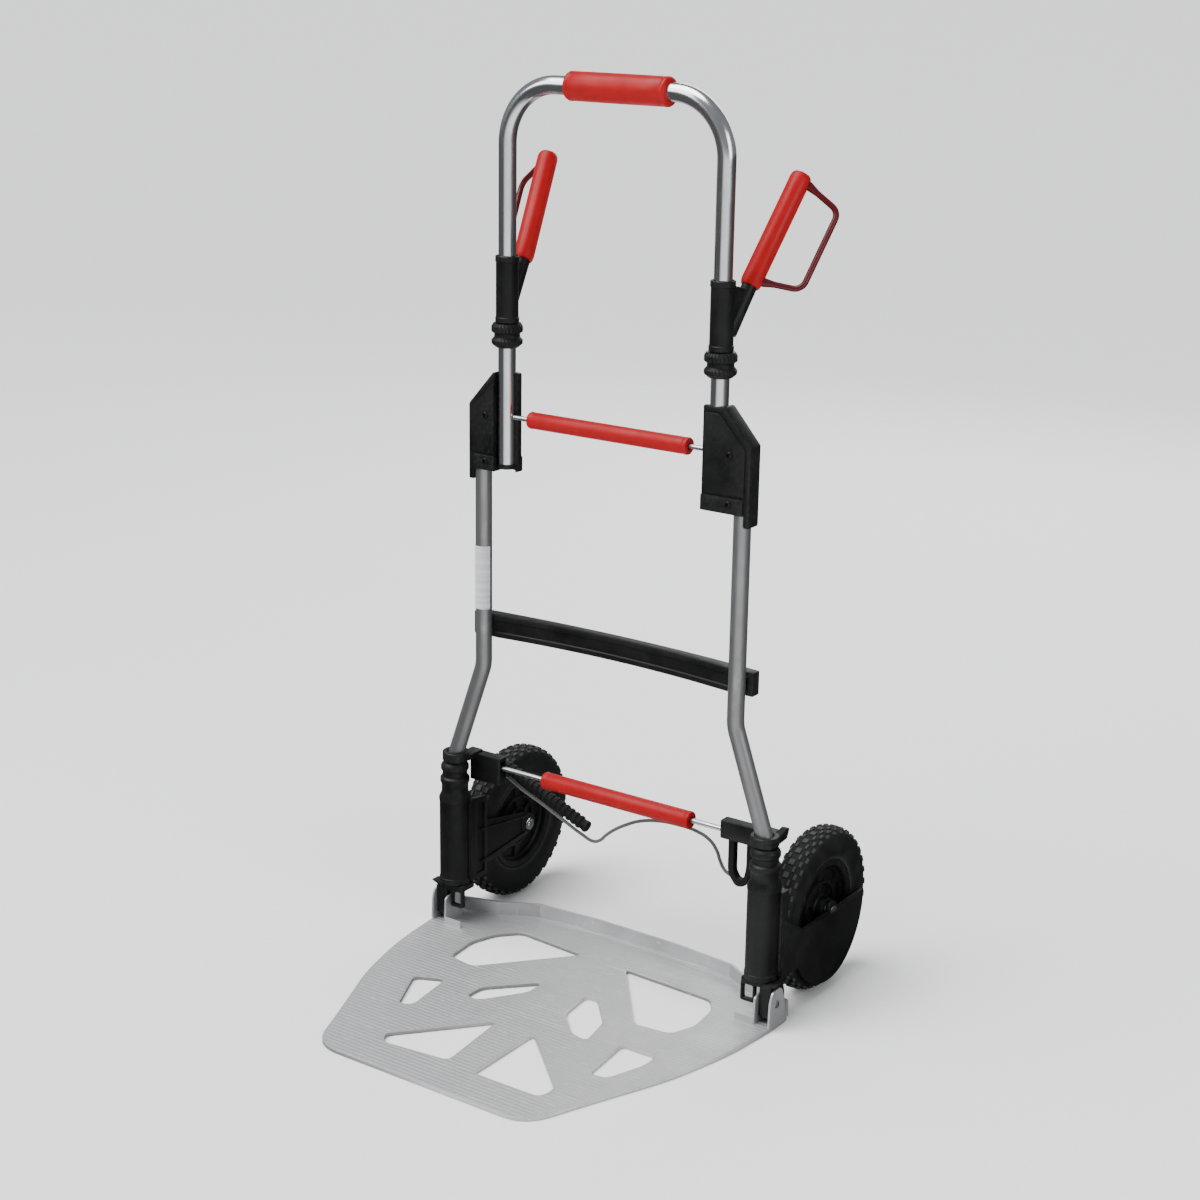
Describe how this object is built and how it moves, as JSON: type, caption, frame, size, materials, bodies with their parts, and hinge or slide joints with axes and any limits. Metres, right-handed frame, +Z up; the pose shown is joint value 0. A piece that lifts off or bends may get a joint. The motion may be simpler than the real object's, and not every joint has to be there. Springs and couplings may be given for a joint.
{
  "type": "folding hand truck",
  "caption": "Folding tube-frame hand truck with telescoping U handle, swivelling side grips, hinged cut-out toe plate and swing-in wheels.",
  "frame": {"origin": "on the floor midway between the two posts, at the underside of the toe plate", "axes": "+Z up, -Y towards the front of the toe plate where the load stands, +X to the right as seen from the load side"},
  "size_m": [0.6086, 0.687, 1.2745],
  "materials": {
    "chrome_tube": "bright drawn tube",
    "grey_tube": "satin grey",
    "steel": "zinc plated",
    "dark_steel": "blackened",
    "aluminium": "fine ribbed, satin",
    "black_plastic": "fine moulded grain",
    "black_rubber": "matt",
    "tyre": "matt, block tread",
    "red_grip": "soft satin",
    "dark_red": "satin",
    "cord": "braided",
    "white_film": "blank film"
  },
  "bodies": {
    "frame": {"frame_tube_left": "grey_tube", "frame_tube_right": "grey_tube", "corner_bracket_left": "black_plastic", "corner_bracket_right": "black_plastic", "bracket_screw_upper_left": "dark_steel", "bracket_screw_upper_right": "dark_steel", "bracket_screw_lower_left": "dark_steel", "bracket_screw_lower_right": "dark_steel", "foot_left": "black_plastic", "foot_right": "black_plastic", "latch_block_left": "black_plastic", "latch_block_right": "black_plastic", "cross_bar": "black_plastic", "blank_label": "white_film", "tie_handle": "black_rubber", "tie_cord": "cord", "tie_loop": "black_rubber"},
    "handle": {"u_handle": "chrome_tube", "top_grip": "red_grip", "handle_leg_plug_left": "black_plastic", "handle_leg_plug_right": "black_plastic"},
    "upper_release": {"upper_release_rod": "steel", "upper_release_sleeve": "red_grip"},
    "lower_release": {"lower_release_rod": "steel", "lower_release_sleeve": "red_grip"},
    "plate": {"toe_plate": "aluminium", "hinge_pin_left": "steel", "hinge_pin_right": "steel"},
    "left_clamp": {"clamp_bush_left": "black_plastic"},
    "right_clamp": {"clamp_bush_right": "black_plastic"},
    "left_collar": {"twist_collar_left": "black_plastic"},
    "right_collar": {"twist_collar_right": "black_plastic"},
    "left_side_handle": {"side_handle_sleeve_left": "black_plastic", "side_handle_grip_left": "red_grip", "side_handle_guard_left": "dark_red"},
    "right_side_handle": {"side_handle_sleeve_right": "black_plastic", "side_handle_grip_right": "red_grip", "side_handle_guard_right": "dark_red"},
    "left_wheel_arm": {"wheel_arm_left": "black_plastic", "axle_left": "steel", "axle_nut_left": "steel"},
    "right_wheel_arm": {"wheel_arm_right": "black_plastic", "axle_right": "steel", "axle_nut_right": "steel"},
    "left_wheel": {"tyre_left": "tyre", "rim_left": "black_plastic", "wheel_bush_left": "steel"},
    "right_wheel": {"tyre_right": "tyre", "rim_right": "black_plastic", "wheel_bush_right": "steel"}
  },
  "joints": [
    {"name": "handle_slide", "type": "slide", "parent": "frame", "child": "handle", "axis": [0, 0, 1], "range_m": [-0.15, 0]},
    {"name": "upper_release_lift", "type": "slide", "parent": "frame", "child": "upper_release", "axis": [0, 0, 1], "range_m": [0, 0.006], "stiffness_N_per_m": 800, "springref_m": -0.005},
    {"name": "lower_release_lift", "type": "slide", "parent": "frame", "child": "lower_release", "axis": [0, 0, 1], "range_m": [0, 0.006], "stiffness_N_per_m": 800, "springref_m": -0.005},
    {"name": "plate_fold", "type": "hinge", "parent": "frame", "child": "plate", "pos_m": [0, -0.004, 0.036], "axis": [-1, 0, 0], "range_deg": [0, 90]},
    {"name": "left_clamp_slide", "type": "slide", "parent": "frame", "child": "left_clamp", "axis": [0, 0, 1], "range_m": [-0.033, 0]},
    {"name": "right_clamp_slide", "type": "slide", "parent": "frame", "child": "right_clamp", "axis": [0, 0, 1], "range_m": [-0.033, 0]},
    {"name": "left_handle_swivel", "type": "hinge", "parent": "left_clamp", "child": "left_side_handle", "pos_m": [-0.174, 0, 0.97], "axis": [0, 0, 1], "range_deg": [-75, 0]},
    {"name": "right_handle_swivel", "type": "hinge", "parent": "right_clamp", "child": "right_side_handle", "pos_m": [0.174, 0, 0.97], "axis": [0, 0, 1], "range_deg": [0, 75]},
    {"name": "left_collar_twist", "type": "hinge", "parent": "left_clamp", "child": "left_collar", "pos_m": [-0.174, 0, 0.914], "axis": [0, 0, 1], "range_deg": [0, 40]},
    {"name": "right_collar_twist", "type": "hinge", "parent": "right_clamp", "child": "right_collar", "pos_m": [0.174, 0, 0.914], "axis": [0, 0, 1], "range_deg": [0, 40]},
    {"name": "left_wheel_fold", "type": "hinge", "parent": "frame", "child": "left_wheel_arm", "pos_m": [-0.27, 0, 0.16], "axis": [0, 0, -1], "range_deg": [0, 90], "deforming": ["tie_handle", "tie_cord"]},
    {"name": "right_wheel_fold", "type": "hinge", "parent": "frame", "child": "right_wheel_arm", "pos_m": [0.27, 0, 0.16], "axis": [0, 0, 1], "range_deg": [0, 90], "deforming": ["tie_loop"]},
    {"name": "left_wheel_spin", "type": "hinge", "parent": "left_wheel_arm", "child": "left_wheel", "pos_m": [-0.27, 0.146, 0.12], "axis": [1, 0, 0], "continuous": true},
    {"name": "right_wheel_spin", "type": "hinge", "parent": "right_wheel_arm", "child": "right_wheel", "pos_m": [0.27, 0.146, 0.12], "axis": [1, 0, 0], "continuous": true}
  ],
  "couplings": [
    {"joint": "left_wheel_fold", "follows": "plate_fold", "ratio": 1},
    {"joint": "right_wheel_fold", "follows": "plate_fold", "ratio": 1}
  ]
}
